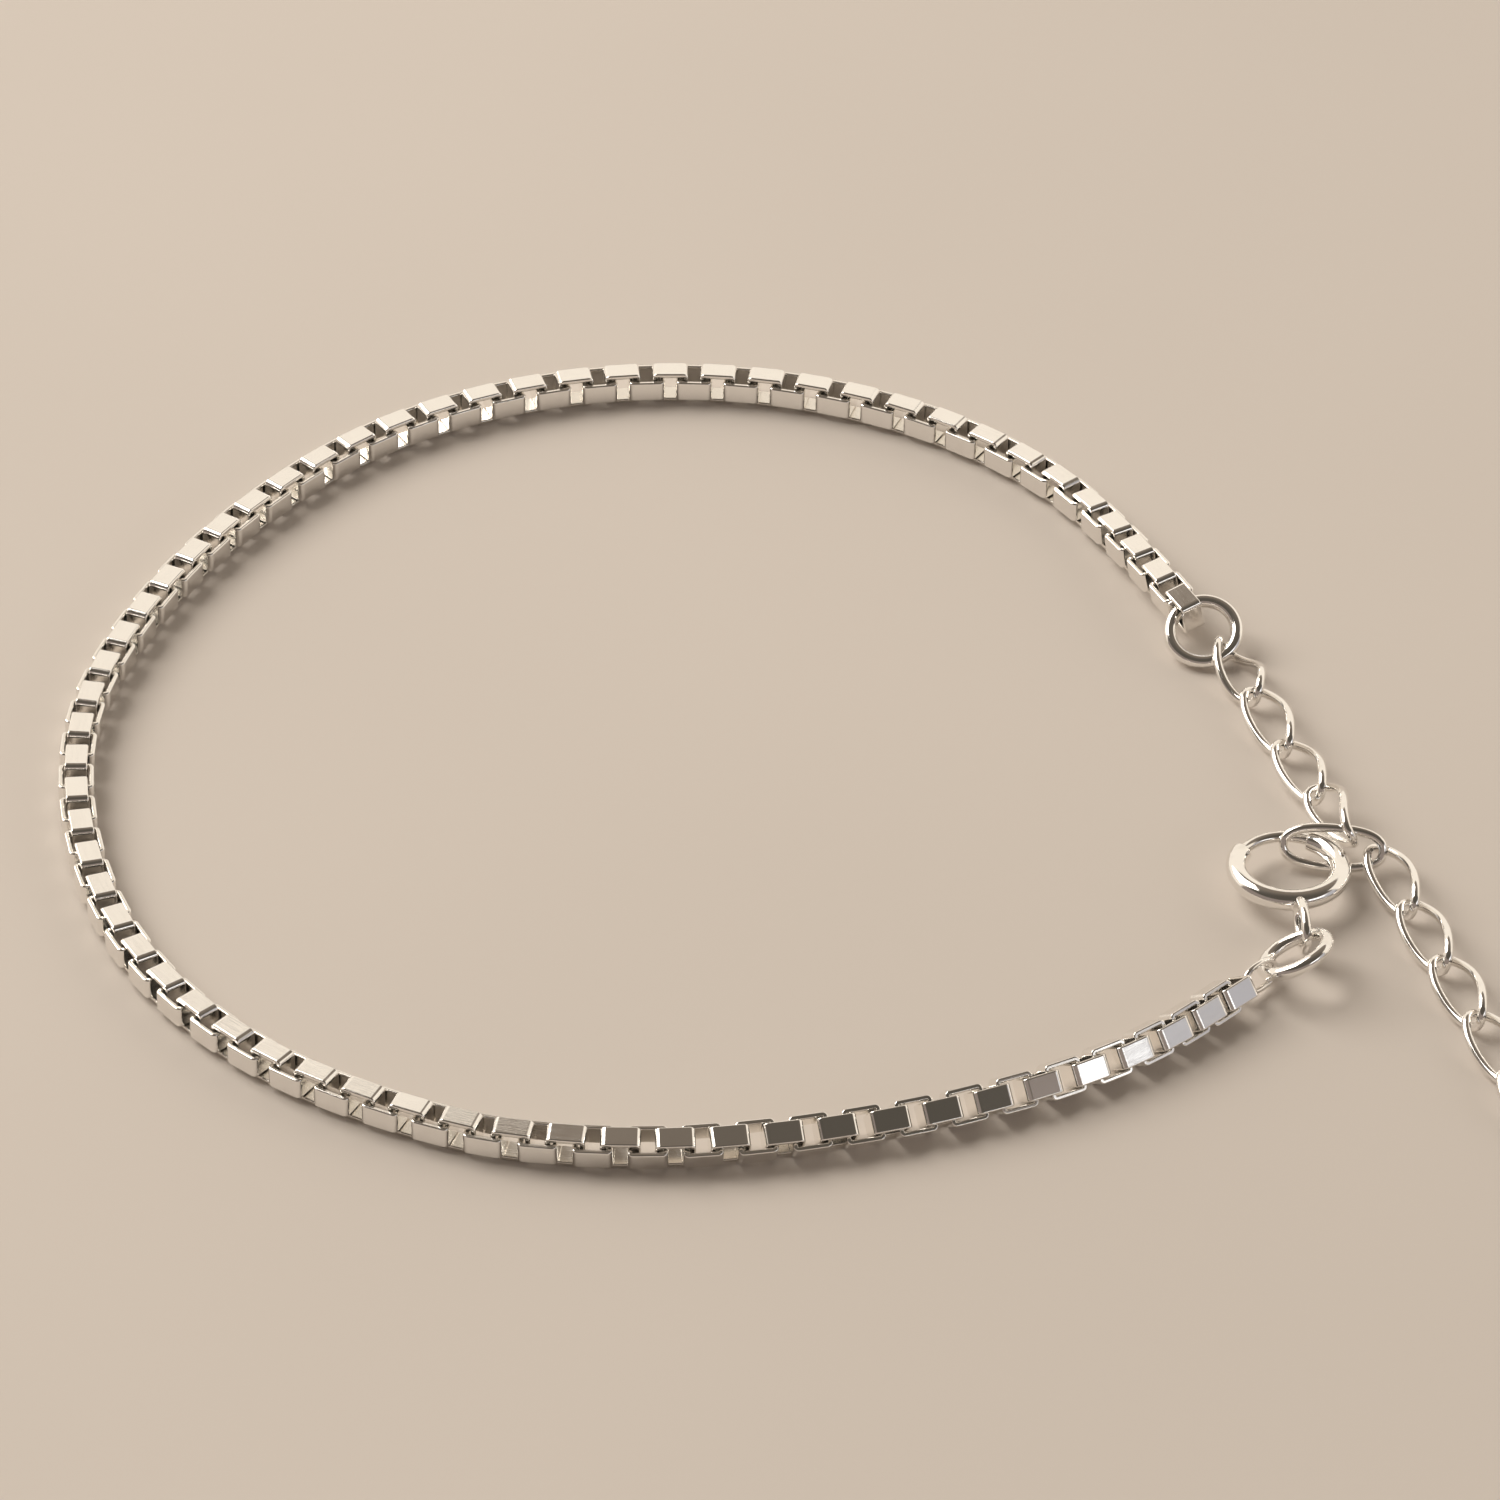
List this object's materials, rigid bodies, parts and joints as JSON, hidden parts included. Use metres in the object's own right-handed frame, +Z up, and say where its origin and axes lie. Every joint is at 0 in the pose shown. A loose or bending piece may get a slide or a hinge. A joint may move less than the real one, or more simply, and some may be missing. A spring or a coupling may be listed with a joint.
{
  "type": "bracelet",
  "caption": "Fine box-chain bracelet lying fastened: a bolt ring at the end of the chain is hooked into the extender chain, whose tail runs on free.",
  "frame": {"origin": "middle of the bounding box, on the surface that the bracelet lies on", "axes": "+X towards the clasp and the extender's tail, +Y towards the far side of the loop, +Z up"},
  "size_m": [0.0695, 0.0604, 0.0029],
  "materials": {
    "silver": "polished silver",
    "silver_plates": "polished silver with fine lengthwise brushing"
  },
  "bodies": {
    "bracelet": {"box_chain": "silver_plates", "chain_end_link_a": "silver_plates", "chain_end_link_b": "silver_plates", "jump_ring_a": "silver", "jump_ring_b": "silver", "bolt_ring": "silver", "extender_link_01": "silver", "extender_link_02": "silver", "extender_link_03": "silver", "extender_link_04": "silver", "extender_link_05": "silver", "extender_link_06": "silver", "extender_link_07": "silver", "extender_link_08": "silver", "extender_link_09": "silver", "extender_link_10": "silver"},
    "bolt": {"bolt": "silver"}
  },
  "joints": [
    {"name": "bolt_draw", "type": "hinge", "parent": "bracelet", "child": "bolt", "pos_m": [0.02345, -0.009, 0.0013], "axis": [0, 0.0349, 0.9994], "range_deg": [-48, 0], "stiffness_Nm_per_rad": 0.002, "springref_deg": 17.19}
  ]
}
